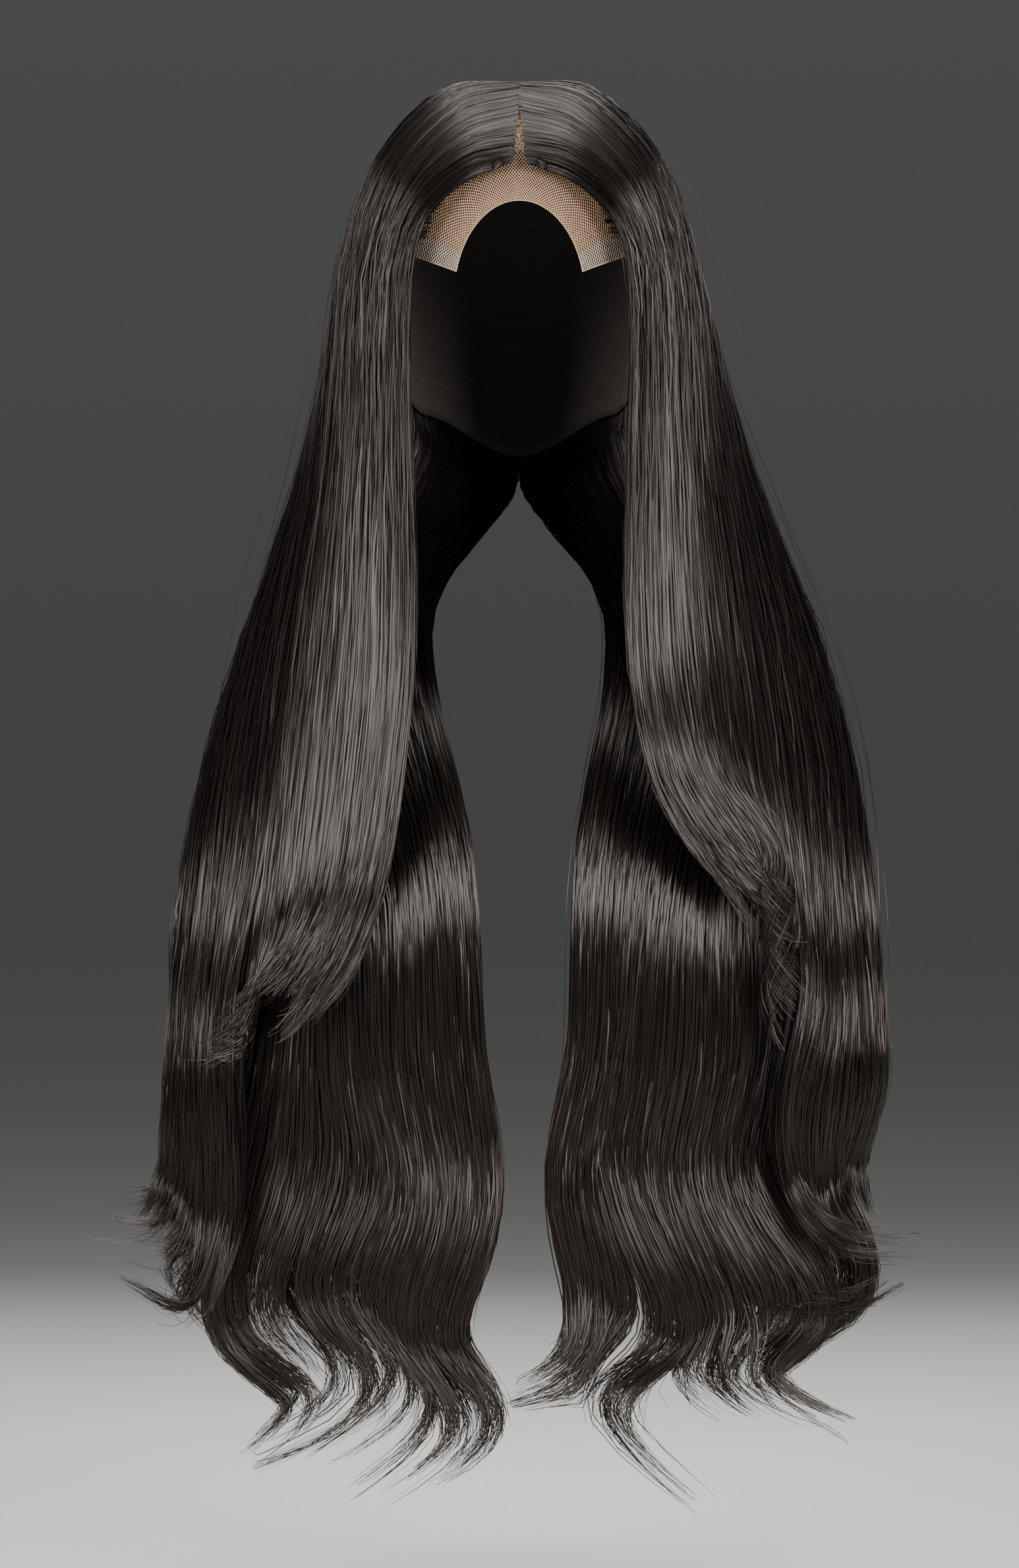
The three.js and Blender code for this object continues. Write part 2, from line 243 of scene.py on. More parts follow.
napeEndsLeft = [
    (38, -80, -386, 32, -481, 24, -555, 41, -620, 14, -665, 45, -710),
    (59, -82, -397, 56, -487, 46, -555, 61, -613, 35, -662, 70, -708),
    (83, -80, -406, 79, -487, 69, -545, 87, -597, 61, -639, 93, -685),
    (114, -70, -411, 118, -481, 128, -540, 142, -614, 103, -650, 128, -690),
]
napeEndsRight = [
    (43, -80, -386, 39, -481, 28, -542, 37, -597, 30, -630, 2, -658),
    (64, -82, -397, 57, -487, 51, -545, 80, -621, 40, -652, 76, -711),
    (88, -80, -406, 85, -487, 75, -545, 98, -607, 88, -639, 104, -668),
    (121, -70, -411, 121, -481, 111, -543, 147, -608, 114, -640, 154, -678),
]


def frontRoot(row):
    rootDepth, sideDepth, sideLift = row
    topLift = 8 + 4 * ease(rootDepth, -0.6, 0)
    points = []
    first = -0.6 + 1.3 * ease(-rootDepth, -0.05, 0.7)
    for turn, lift in ((first, 4.4), (24, topLift), (50, sideLift), (74, sideLift)):
        depth = rootDepth + (sideDepth - rootDepth) * turn / 74
        points.append(fromFront(math.acos(-depth), math.radians(-turn), lift))
    return points


def crownRoot(row):
    turn, topLift, sideLift = row
    crown = np.array((0, 0.29, 0.957))
    level = np.array((-math.sin(math.radians(turn)), math.cos(math.radians(turn)), -0.05))
    points = [onCap(0, 0.16, 0.98, 3.8)]
    for share, lift in ((0.35, topLift), (0.65, sideLift), (1, sideLift)):
        points.append(onCap(*(crown + (level - crown) * share), lift))
    return points


def napeRoot(row):
    turn, rootDown = row
    places = ((0, 4), (4, 5), (8, 6.2), (12, 7))  # degrees below the root, lift in mm
    around = math.radians(180 + turn)
    return [fromCrown(around, math.radians(rootDown + drop), lift) for drop, lift in places]


def wayPoints(root, fall, end, deep):
    # twelve places of a lock on the viewer's left, one to a stage
    waves = (0, -deep, deep, -deep, 0)
    points = [*root, (-fall[0], fall[1], fall[2]), (-fall[3], fall[4], fall[5]), (-end[0], end[1], end[2])]
    points += [(-end[3 + 2 * i], end[1] + wave, end[4 + 2 * i]) for i, wave in enumerate(waves)]
    return np.array(points, float)


def hermite(a, b, slopeA, slopeB, t):
    return ((2 * t - 3) * t * t + 1) * a + ((t - 2) * t + 1) * t * slopeA \
        + (3 - 2 * t) * t * t * b + (t - 1) * t * t * slopeB


def curveThrough(points, stages):
    # even, kink-free line through the places, at any stages
    ends = np.vstack([2 * points[0] - points[1], points, 2 * points[-1] - points[-2]])
    i = np.clip(stages.astype(int), 0, len(points) - 2)
    a, b, c, d = (ends[i + k] for k in range(4))
    ab, bc, cd = (np.sqrt(np.linalg.norm(q - p, axis=-1))[:, None] for p, q in ((a, b), (b, c), (c, d)))
    slopeB = ((b - a) / ab - (c - a) / (ab + bc) + (c - b) / bc) * bc
    slopeC = ((c - b) / bc - (d - b) / (bc + cd) + (d - c) / cd) * bc
    return hermite(b, c, slopeB, slopeC, (stages - i)[:, None])


def rounded(lines, half):
    # mean of each line over a short stretch, so that its bends are rounder
    before = 2 * lines[:, :1] - lines[:, half:0:-1]
    after = 2 * lines[:, -1:] - lines[:, -2:-half - 2:-1]
    longer = np.concatenate([before, lines, after], 1)
    weights = np.hanning(2 * half + 3)[1:-1]
    return sum(weight * longer[:, k:k + lines.shape[1]] for k, weight in enumerate(weights)) / weights.sum()


def lockGroup(roots, rootOf, falls, ends, side, look, short=0):
    # lines of a group of locks with the way across, outwards, half width and half thickness all along
    stages = np.arange(0, locks["tip"] + 1e-6, locks["grain"])
    lines = []
    for i, (root, fall, end) in enumerate(zip(roots, falls, ends)):
        deep = 0 if i < short else locks["waveDepth"]
        lines.append(curveThrough(wayPoints(rootOf(root), fall, end, deep), stages))
    lines = np.stack(lines)
    soft = rounded(lines, round(locks["round"] / locks["grain"]))
    lines = lines + (soft - lines) * ease(stages, 6.5, 8)[:, None]
    start, aside, up = locks["tipCurl"]
    past = np.clip((stages - start) / (locks["tip"] - start), 0, 1) ** 2
    way = np.sign(lines[:, -1, 0] - lines[:, round(start / locks["grain"]), 0])
    lines[short:, :, 0] += aside * way[short:, None] * past
    lines[short:, :, 2] += up * past
    lines[..., 0] *= -side
    deepest, crest, length = locks["swing"]
    phase = (lines[short:, :, 2] - crest) * 2 * math.pi / length
    lines[short:, :, 1] -= deepest * np.cos(phase) * ease(stages, 6.4, 7.6)
    steps = np.gradient(lines, axis=0)
    ahead = unit(np.gradient(lines, axis=1))
    across = np.empty_like(lines)
    parted = round(locks["parted"] / locks["grain"])
    for s in range(len(stages)):
        way = steps[:, s] if s <= parted else across[:, s - 1]
        across[:, s] = way - ahead[:, s] * (way * ahead[:, s]).sum(-1, keepdims=True)
        if s > parted:
            across[:, s] = unit(across[:, s])
    space = np.linalg.norm(across, axis=-1)
    across = unit(across)
    body = np.array(locks["body"], float)
    thick = np.interp(stages, body[:, 0], body[:, 1])
    wide = np.clip(locks["overlap"] * space, *locks["halfRange"])
    wide[:, parted + 1:] = wide[:, parted:parted + 1]
    blend = ease(stages, locks["parted"], locks["parted"] + 1)
    wide = wide * (1 - blend) + np.interp(stages, body[:, 0], body[:, 2]) * blend
    outward = np.cross(across, ahead) * -side
    gaps = np.linalg.norm(np.diff(lines, axis=0), axis=-1)
    ends = np.linalg.norm(steps, axis=-1)
    return {"stages": stages, "lines": lines, "steps": steps, "across": across, "outward": outward,
            "wide": wide, "thick": thick, "last": len(roots) - 1, "short": short, "side": side,
            "look": look,
            "spaceUp": np.vstack([gaps, ends[-1:]]), "spaceDown": np.vstack([ends[:1], gaps])}


def sampled(rows, lock, stage):
    # stored values of each strand's lock at its own stages
    place = np.clip(stage / locks["grain"], 0, rows.shape[1] - 1.001)
    low = place.astype(int)
    t = place - low
    if rows.ndim == 3:
        t = t[..., None]
    return rows[lock, low] * (1 - t) + rows[lock, low + 1] * t


strands = {
    "thickenFrom": 7, "endSegments": 16,  # first stage and segments of a strand that only thickens the ends
    "halfWidth": (0.23, 0.38),  # mm, wider than a real hair so that it shows
    "tipShare": 0.3,
    "roll": 0.35,  # rad, turn of a flat strand about its own line
    "streak": 1.2,  # mm, width of the bands of strands that lie alike
    "frizz": (0.2, 1.7),  # mm, stray from the line at the root and at the tip
    # slope and waves to a stage of a strand's own bends in depth, which fray the sheen
    "ripple": (0.05, 3.4),
    "wisps": 14,  # fine wisps that a lock's end divides into
    "wispReach": 0.9,  # how far from a lock's middle they stand, as a share of its half
    "wispEarly": 0.38, "wispShorter": 0.45,  # stages by which they bend and end apart
    "wispDrift": (6, 4, 3.5),  # mm, out, in depth and in height
    "gather": (0.74, 0.35), "gatherFrom": 8.2,  # pull into wisps, long and short, and its stage
    # stage and the most half width of a lock there, mm: neighbours further apart come away
    "spread": [(0, 90), (6, 60), (8, 44), (9, 36), (9.6, 26), (10.2, 17), (11, 11)],
    "shortSpread": [(0, 90), (6, 60), (7.5, 42), (9, 34), (11, 24)],
    "shortEnds": (6.3, 10.6), "shortLeast": 0.65,  # stages where the shorter front strands end
    "lengthBias": 0.6,  # below 1: more strands are short
    # stage and the least half width of a lock, mm
    "own": [(0, 0), (6, 0), (7, 13), (9, 12), (10, 9), (11, 5)],
    "outer": 0.7, "outerDepth": 0.28,  # share of the strands in the sheet's outer layer, and its depth
    "inner": 0.3,  # share on the inner side of a sheet that has strands on both
    "bandRoll": 0.03, "bandLift": 0.025,  # rad and share of the depth
    "columns": 64,  # tints on the map
    "strayWidth": (0.12, 0.18), "hairlineWidth": (0.14, 0.22), "fringeWidth": (0.08, 0.14),  # mm, half
    # stage of the tips, how much sooner some end, and the first stage for any
    "ends": (11, 1.5, 8.5), "thickenEnds": (11, 1.2, 9), "strayEnds": (11, 1.8, 8),
    "hairlineEnds": (4.5, 2.6, 1.2),
}


def tableAt(rows, at):
    # second column of a table at places along its first, straight between its rows
    return np.interp(at, *np.array(rows, float).T)


def stageSteps(segments):
    # stages of a strand's points, with its own number of segments to each stage
    stages, at = [0.0], 0
    for upTo, count in segments:
        stages += [at + (k + 1) / count for k in range((upTo - at) * count)]
        at = upTo
    return np.array(stages)


def strandLines(group, count, rng, edges, depths, ends, begin=0):
    # middle lines of loose strands: an even sheet above, which comes apart into locks and wisps below
    last, look = group["last"], group["look"]
    u = rng.uniform(-edges[0], last + edges[1], count)
    if look["drop"][1]:
        # fewer strands towards the edge that lies on the crown
        few = rng.uniform(0, 1, count) < np.maximum(0, u - last) / 1.2
        u = np.where(few, rng.uniform(-edges[0], last, count), u)
    lock = np.clip(np.round(u).astype(int), 0, last)
    aside = u - lock
    depth = rng.uniform(depths[0], depths[1], count)
    outer = rng.uniform(0, 1, count) < strands["outer"]
    depth = np.where(outer, depths[1] - strands["outerDepth"] * rng.uniform(0, 1, count), depth)
    if depths[0] == -depths[1]:
        depth = depth * np.where(rng.uniform(0, 1, count) < strands["inner"], -1, 1)

    # each strand belongs to a wisp of its lock
    each = last + 1, strands["wisps"]
    reach = strands["wispReach"]
    centres = rng.uniform(-reach, reach, (*each, 2))
    wisp = np.square(centres[lock] - np.stack([aside / 0.5, depth], -1)[:, None]).sum(-1).argmin(1)
    centre = centres[lock, wisp]
    drift = rng.normal(0, 1, (*each, 3))[lock, wisp]
    early = rng.normal(0, strands["wispEarly"], each)[lock, wisp]
    shorter = np.abs(rng.normal(0, strands["wispShorter"], each))[lock, wisp]

    sooner = ends[1] * rng.uniform(0, 1, count) ** strands["lengthBias"]
    tip = np.clip(ends[0] - shorter - sooner, ends[2], locks["tip"])
    low, high = strands["shortEnds"]
    uneven = rng.uniform(strands["shortLeast"], 1, each)[lock, wisp]
    shortTip = low + (high - low) * uneven * rng.uniform(0, 1, count) ** strands["lengthBias"]
    tip = np.where(lock < group["short"], shortTip, tip)
    root = begin + np.interp(u, (0, last), look["rootSpan"]) * rng.uniform(0, 1, count) ** 0.5
    if begin == 0:
        shares = stageSteps(look["segments"]) / locks["tip"]
    else:
        shares = np.linspace(0, 1, strands["endSegments"] + 1)
    stage = root[:, None] + shares[None] * (tip - root)[:, None]

    long, short = strands["gather"]
    gather = np.where(lock < group["short"], short, long)[:, None]
    gather = gather * ease(stage, strands["gatherFrom"], locks["tip"])
    place = aside[:, None] * (1 - gather) + 0.5 * centre[:, :1] * gather
    deep = depth[:, None] * (1 - gather) + centre[:, 1:] * gather
    late = np.clip(stage + early[:, None] * ease(stage, 8, 11), 0, locks["tip"])
    which = lock[:, None]
    spaceUp, spaceDown = (sampled(group[name], which, late) for name in ("spaceUp", "spaceDown"))
    space = np.where(place > 0, spaceUp, spaceDown)
    most, mostShort = (tableAt(strands[name], stage) for name in ("spread", "shortSpread"))
    most = np.where(which < group["short"], mostShort, most)
    limit = most / (0.5 * space)
    border = ((which + np.sign(place) < 0) | (which + np.sign(place) > last)).astype(float)
    if group["short"]:
        border = np.where((which == group["short"]) & (place < 0), ease(stage, 5.6, 6.8), border)
    at = which + (1 - border) * place * np.minimum(1, limit)
    if "forward" in look:
        # combed forward: roots lie further back along the parting than the fall
        amount, to = look["forward"]
        amount = amount * ease(u, -0.74, 0.8) * (1 - ease(u, 1.2, last + 0.2))
        at = np.minimum(at + amount[:, None] * np.clip(1 - stage / to, 0, 1) ** 1.6, last)
    i = np.clip(np.floor(at).astype(int), 0, last - 1)
    t = (at - i)[..., None]
    a, b = sampled(group["lines"], i, late), sampled(group["lines"], i + 1, late)
    slopeA, slopeB = sampled(group["steps"], i, late), sampled(group["steps"], i + 1, late)
    points = hermite(a, b, slopeA, slopeB, t)
    outA, outB = sampled(group["outward"], i, late), sampled(group["outward"], i + 1, late)
    outward = unit(outA * (1 - t) + outB * t)
    reach = np.minimum(most, tableAt(look["border"], stage)) / 1.6
    own = np.maximum(0, tableAt(strands["own"], stage) - 0.5 * space)
    own = own + (reach - own) * border
    points = points + sampled(group["across"], which, late) * (2 * place * own)[..., None]
    ahead, past = np.clip(-u / 0.74, 0, 1)[:, None], np.clip(u - last, 0, 1)[:, None]
    begun = ease(stage, 0, 0.8)
    drop = look["drop"][0] * ahead ** 2 * begun * (1 - ease(stage, 1.6, 3)) \
        + look["drop"][1] * past ** 1.3 * (0.5 + 0.5 * begun) * (1 - ease(stage, 3.5, 6))
    points = points - outward * drop[..., None]

    # depth in the sheet, thinner at its edges, with neighbouring strands lying alike in narrow bands
    thick = np.interp(stage, group["stages"], group["thick"])
    edge = np.minimum(u + edges[0], last + edges[1] - u)
    profile = np.sqrt(np.clip(edge / 0.5, 0.02, 1))[:, None]
    bands = np.floor((u + edges[0]) * 30 / strands["streak"]).astype(int)
    bandRoll = rng.normal(0, strands["bandRoll"], bands.max() + 1)[bands]
    bandLift = rng.normal(0, strands["bandLift"], bands.max() + 1)[bands]
    points = points + outward * (thick * (deep * profile + bandLift[:, None]))[..., None]
    points = points + (drift[:, None] * strands["wispDrift"]) * ease(stage, 8.4, 11)[..., None]

    if "parting" in look:
        # roots stand beside the bare strip, and close over it towards the crown
        bare = tableAt(look["parting"], points[:, 0, 1])
        stragglers, share = look["stragglers"]
        bare = bare * np.where(rng.uniform(0, 1, count) < stragglers, share, 1)
        bare = bare + look["rootRows"] * rng.uniform(0, 1, count) ** 2
        lacking = bare - points[:, 0, 0] * group["side"]
        points[..., 0] += group["side"] * lacking[:, None] * (1 - ease(stage, 0, 0.7))

    # each strand strays a little from its line, more towards the tip
    low, high = strands["frizz"]
    amount = low + (high - low) * ease(stage, 3, 11) ** 1.5
    for waves in (1.3, 3.1, 6.3):
        phase = rng.uniform(0, 2 * math.pi, (count, 1, 3))
        size = rng.normal(0, 1 / waves ** 0.8, (count, 1, 3))
        points = points + amount[..., None] * size * np.sin(waves * stage[..., None] + phase)
    slope, waves = strands["ripple"]
    pace = np.linalg.norm(np.gradient(points, axis=1), axis=-1) / np.gradient(stage, axis=1)
    phase = rng.uniform(0, 2 * math.pi, (count, 1))
    ripple = rng.normal(0, slope, (count, 1)) * np.sin(waves * stage + phase) * pace / waves
    ripple = ripple * ease(stage, 0.5, 3)
    points = points + outward * ripple[..., None]
    roll = rng.normal(0, strands["roll"], count) + bandRoll
    return points, outward, roll, stage


def ribbons(points, outward, roll, stage, rng, halfWidths):
    # flat strands along lines, tapered at the tip, with a map that runs across by tint and up by stage
    count, rows = points.shape[:2]
    ahead = unit(np.gradient(points, axis=1))
    flat = unit(np.cross(ahead, outward))
    up = np.cross(flat, ahead)
    across = flat * np.cos(roll)[:, None, None] + up * np.sin(roll)[:, None, None]
    taper = 1 - (1 - strands["tipShare"]) * np.linspace(0, 1, rows) ** 5
    half = rng.uniform(*halfWidths, count)[:, None] * taper[None]
    verts = np.stack([points - across * half[..., None], points + across * half[..., None]], 2)
    at = np.arange(count * rows * 2).reshape(count, rows, 2)
    faces = np.stack([at[:, :-1, 0], at[:, :-1, 1], at[:, 1:, 1], at[:, 1:, 0]], -1).reshape(-1, 4)
    column = rng.integers(0, strands["columns"], count)
    edges = (column[:, None] + np.array((0.06, 0.94))[None]) / strands["columns"]
    along = 0.02 + 0.96 * stage / locks["tip"]
    mapU = np.broadcast_to(edges[:, None, :], (count, rows, 2))
    mapV = np.broadcast_to(along[:, :, None], (count, rows, 2))
    return verts.reshape(-1, 3), faces, np.stack([mapU, mapV], -1).reshape(-1, 2)


core = {
    "sides": 10, "step": 0.25,
    "thick": 0.42, "swell": 1.5,  # share of the lock's depth, stages over which it is reached
    "from": 1.4, "to": 8.9, "shortTo": 6.4,  # stages where a core starts and ends
    "wide": [(1, 0.5), (4.5, 0.6), (6.5, 0.94), (9, 0.94)],  # stage and share of the lock's width
}


def lockCores(group):
    # dark body inside each lock, its colour painted shade, which the loose strands lie over
    angle = np.linspace(0, 2 * math.pi, core["sides"], endpoint=False)
    verts, faces, uvs = [], [], []
    total = 0
    for lock in range(group["last"] + 1):
        to = core["shortTo"] if lock < group["short"] else core["to"]
        stage = np.arange(core["from"], to, core["step"])
        which = np.full(len(stage), lock)
        line, across = sampled(group["lines"], which, stage), sampled(group["across"], which, stage)
        outward = sampled(group["outward"], which, stage)
        swell = 0.1 + 0.9 * ease(stage, core["from"], core["from"] + core["swell"])
        taper = np.clip((to - stage) / 2, 0.03, 1) ** 0.7 * swell
        wide = tableAt(core["wide"], stage) * sampled(group["wide"], which, stage) * taper
        thick = core["thick"] * np.interp(stage, group["stages"], group["thick"]) * taper
        if group["look"]["drop"][1] and lock in (0, group["last"]):
            wide = wide * (0.45 + 0.55 * ease(stage, 2, 5))
        ring = line[:, None] + across[:, None] * (wide[:, None] * np.cos(angle))[..., None] \
            + outward[:, None] * (thick[:, None] * np.sin(angle))[..., None]
        at = total + np.arange(ring.shape[0] * ring.shape[1]).reshape(ring.shape[:2])
        nextAt = np.roll(at, -1, axis=1)
        faces.append(np.stack([at[:-1], nextAt[:-1], nextAt[1:], at[1:]], -1).reshape(-1, 4))
        verts.append(ring.reshape(-1, 3))
        tint = np.broadcast_to(np.abs(angle / math.pi - 1)[None], at.shape)
        along = np.broadcast_to((0.02 + 0.96 * stage / locks["tip"])[:, None], at.shape)
        uvs.append(np.stack([tint, along], -1).reshape(-1, 2))
        total += at.size
    return np.concatenate(verts), np.concatenate(faces), np.concatenate(uvs)


def meshFrom(name, cores, sets):
    # one mesh joined from cores and strands: points, four-sided faces and map places
    parts = cores + sets
    verts = np.concatenate([p[0] for p in parts]) * mm
    offsets = np.cumsum([0] + [len(p[0]) for p in parts[:-1]])
    faces = np.concatenate([p[1] + o for p, o in zip(parts, offsets)])
    uvs = np.concatenate([p[2] for p in parts])
    mesh = bpy.data.meshes.new(name)
    mesh.vertices.add(len(verts))
    mesh.vertices.foreach_set("co", verts.astype(np.float32).ravel())
    mesh.loops.add(faces.size)
    mesh.loops.foreach_set("vertex_index", faces.astype(np.int32).ravel())
    mesh.polygons.add(len(faces))
    mesh.polygons.foreach_set("loop_start", np.arange(0, faces.size, 4, dtype=np.int32))
    mesh.polygons.foreach_set("use_smooth", np.ones(len(faces), bool))
    inner = np.arange(len(faces)) < sum(len(p[1]) for p in cores)
    mesh.polygons.foreach_set("material_index", inner.astype(np.int32))
    layer = mesh.uv_layers.new(name="OFBake")
    layer.data.foreach_set("uv", uvs[faces.ravel()].astype(np.float32).ravel())
    mesh.update()
    mesh.validate()
    mesh.materials.append(hairFibre)
    mesh.materials.append(shadedHair)
    return linkObject(name, mesh)


# Dyed hair fibre: near black, a little brown, with a soft gloss that runs across the strands
hairFibre, tree = newMaterial("dyed_hair_fibre")
hairLook = {
    # deep: painted shade, the colour of the dark cores inside the locks
    "dark": "#090706", "light": "#15100e", "tip": "#1a130f", "deep": "#060404",
    "roughness": (0.34, 0.43), "dryTips": 0.1,
    "ior": 1.48, "sheen": (1, 0.9, 0.84, 1),
    "mottle": (90, 7, 1),  # across and along the map
}
uvMap = addNode(tree, "ShaderNodeUVMap", {"uv_map": "OFBake"})
parts = addNode(tree, "ShaderNodeSeparateXYZ", links={"Vector": uvMap.outputs["UV"]})
column = addNode(tree, "ShaderNodeMath", {"operation": "MULTIPLY", 1: strands["columns"]},
                 {0: parts.outputs["X"]})
column = addNode(tree, "ShaderNodeMath", {"operation": "FLOOR"}, {0: column.outputs[0]})
tint = addNode(tree, "ShaderNodeTexWhiteNoise", {"noise_dimensions": "1D"}, {"W": column.outputs[0]})
stretch = addNode(tree, "ShaderNodeMapping", {"Scale": hairLook["mottle"]}, {"Vector": uvMap.outputs["UV"]})
mottle = addNode(tree, "ShaderNodeTexNoise", {"Scale": 1, "Detail": 2}, {"Vector": stretch.outputs[0]})
mottle = addNode(tree, "ShaderNodeMath", {"operation": "MULTIPLY", 1: 0.4}, {0: mottle.outputs["Fac"]})
both = addNode(tree, "ShaderNodeMath", {"operation": "MULTIPLY_ADD", 1: 0.6},
               {0: tint.outputs["Value"], 2: mottle.outputs[0]})
shade = addNode(tree, "ShaderNodeMix", {"data_type": "RGBA"}, {0: both.outputs[0]})
shade.inputs[6].default_value = studioColour(hairLook["dark"])
shade.inputs[7].default_value = studioColour(hairLook["light"])
towardsTip = addNode(tree, "ShaderNodeMapRange", {"From Min": 0.55, "From Max": 1.0, "To Max": 0.45},
                     {"Value": parts.outputs["Y"]})
colour = addNode(tree, "ShaderNodeMix", {"data_type": "RGBA"},
                 {0: towardsTip.outputs[0], 6: shade.outputs[2]})
colour.inputs[7].default_value = studioColour(hairLook["tip"])
low, high = hairLook["roughness"]
gloss = addNode(tree, "ShaderNodeMapRange", {"To Min": low, "To Max": high},
                {"Value": tint.outputs["Value"]})
dry = addNode(tree, "ShaderNodeMapRange", {"From Min": 0.65, "From Max": 1, "To Max": hairLook["dryTips"]},
              {"Value": parts.outputs["Y"]})
gloss = addNode(tree, "ShaderNodeMath", {"operation": "ADD"}, {0: gloss.outputs[0], 1: dry.outputs[0]})
across = addNode(tree, "ShaderNodeTangent", {"direction_type": "UV_MAP", "uv_map": "OFBake"})
shader = addNode(tree, "ShaderNodeBsdfPrincipled",
                 {"IOR": hairLook["ior"], "Anisotropic": 1, "Specular Tint": hairLook["sheen"]},
                 {"Base Color": colour.outputs[2], "Roughness": gloss.outputs[0],
                  "Tangent": across.outputs[0]})
addNode(tree, "ShaderNodeOutputMaterial", links={"Surface": shader.outputs[0]})

# Hair deep inside a lock, in painted shade: darker than the strands and nearly without gloss, as almost no
# light comes back from between them
shadedHair, tree = newMaterial("shaded_hair_fibre")
shader = addNode(tree, "ShaderNodeBsdfPrincipled",
                 {"Base Color": studioColour(hairLook["deep"]), "Roughness": 0.7,
                  "Specular IOR Level": 0.15})
addNode(tree, "ShaderNodeOutputMaterial", links={"Surface": shader.outputs[0]})
print("hair fibre made")

frontHair = {
    "count": 2300, "short": 2, "hairline": 130, "fringe": 240, "stray": 90, "seed": (11, 12),
    "segments": [(1, 6), (3, 3), (6, 2), (8, 3), (11, 4)],  # up to a stage, segments to a stage
    "rootSpan": (0.1, 0.03),  # stages over which roots begin, at the hairline and at the crown
    "border": [(0, 17), (11, 17)],  # stage and how far the sheet reaches past its first and last lock, mm
    "drop": (3.6, 10),  # mm that the edges come down, at the hairline and at the crown
    "forward": (0.9, 2.6),  # locks that strands run forward, and by which stage
    # depth, mm, and the bare half width of the parting
    "parting": [(-90, 3.8), (-78, 2.8), (-68, 1.8), (-58, 0.8), (-50, -0.6), (-15, -1.6)],
    "rootRows": 2.5,  # mm, how far from its edge roots stand
    "stragglers": (0.04, 0.3),  # share of the strands that stand closer, and how close
}
crownHair = {
    "count": 1000, "thicken": 350, "seed": (21, 22), "drop": (0, 0),
    "segments": [(1, 4), (3, 3), (6, 2), (8, 3), (11, 4)],
    "rootSpan": (0.15, 0.15),
    "border": [(0, 2), (1, 14), (2, 22), (3.5, 32), (5, 18), (11, 17)],
}
napeHair = {
    "count": 1550, "thicken": 650, "stray": 60, "drop": (0, 0),
    "segments": [(3, 1), (6, 2), (8, 3), (11, 4)],
    "rootSpan": (0.15, 0.15),
    "border": [(0, 17), (11, 17)],
}


def strayLines(group, count, rng, edges, reach):
    # single hairs that have left the sheet
    points, outward, roll, stage = strandLines(group, count, rng, edges, (0.6, 1.1), strands["strayEnds"])
    way = rng.normal(0, 1, (count, 1, 3)) * (1, 1, 0.4)
    peak = rng.uniform(3, 9.5, (count, 1))
    bow = np.exp(-np.square((stage - peak) / 1.8))
    points = points + way * (reach * bow)[..., None]
    return points, outward, roll, stage


def fringeLines(rng, side):
    # short new hairs along the hairline, rooted in the lace
    count = frontHair["fringe"]
    angle, turn = rng.uniform(36.5, 39.5, count), rng.uniform(2, 66, count)
    angle = angle + 3 * ease(turn, 14, 0) + 4.5 * ease(turn, 15, 45)
    length = rng.uniform(0.5, 0.9, count)
    points, outward = [], []
    for back, aside, lift in ((0, 0, 2.4), (2, 0.9, 3.4), (4, 2.8, 4.2), (6, 6, 4.6)):
        at = np.radians(angle + back * length), np.radians(turn + aside * length) * side
        points.append(fromFront(*at, np.full(count, lift)))
        outward.append(unit(points[-1] - fromFront(*at, np.zeros(count))))
    stage = np.broadcast_to(np.linspace(0, 0.4, 4), (count, 4))
    return np.stack(points, 1), np.stack(outward, 1), rng.normal(0, 0.3, count), stage


def finishHair(piece):
    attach(piece, "root")
    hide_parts(piece.name.replace("_strands", ""))
    print(piece.name, len(piece.data.polygons), "faces")


def makeFront(name, falls, lockEnds, side, seed):
    rng = np.random.default_rng(seed)
    group = lockGroup(frontRoots, frontRoot, falls, lockEnds, side, frontHair, frontHair["short"])
    ends, hairlineEnds, widths = strands["ends"], strands["hairlineEnds"], strands["halfWidth"]
    sets = [
        (strandLines(group, frontHair["count"], rng, (0.74, 1), (-0.9, 1.05), ends), widths),
        (strayLines(group, frontHair["stray"], rng, (0.8, 0.8), 5), strands["strayWidth"]),
        (strandLines(group, frontHair["hairline"], rng, (1.0, -3.72), (-0.9, 0.3), hairlineEnds),
         strands["hairlineWidth"]),
        (fringeLines(rng, side), strands["fringeWidth"]),
    ]
    loose = [ribbons(*lines, rng, halfWidths) for lines, halfWidths in sets]
    finishHair(meshFrom(name, [lockCores(group)], loose))


def makeBack(name, crownEnds, napeEnds, side, seed):
    rng = np.random.default_rng(seed)
    crown = lockGroup(crownRoots, crownRoot, crownFall, crownEnds, side, crownHair)
    nape = lockGroup(napeRoots, napeRoot, napeFall, napeEnds, side, napeHair)
    ends, lateEnds, widths = strands["ends"], strands["thickenEnds"], strands["halfWidth"]
    begin = strands["thickenFrom"]
    sets = [
        (strandLines(crown, crownHair["count"], rng, (0.9, 0.7), (-1, 1), ends), widths),
        (strandLines(nape, napeHair["count"], rng, (0.74, 0.74), (-1, 1.05), ends), widths),
        (strandLines(crown, crownHair["thicken"], rng, (0.9, 0.7), (-1, 1), lateEnds, begin), widths),
        (strandLines(nape, napeHair["thicken"], rng, (0.74, 0.74), (-1, 1), lateEnds, begin), widths),
        (strayLines(nape, napeHair["stray"], rng, (0.8, 0.8), 5), strands["strayWidth"]),
    ]
    loose = [ribbons(*lines, rng, halfWidths) for lines, halfWidths in sets]
    finishHair(meshFrom(name, [lockCores(crown), lockCores(nape)], loose))


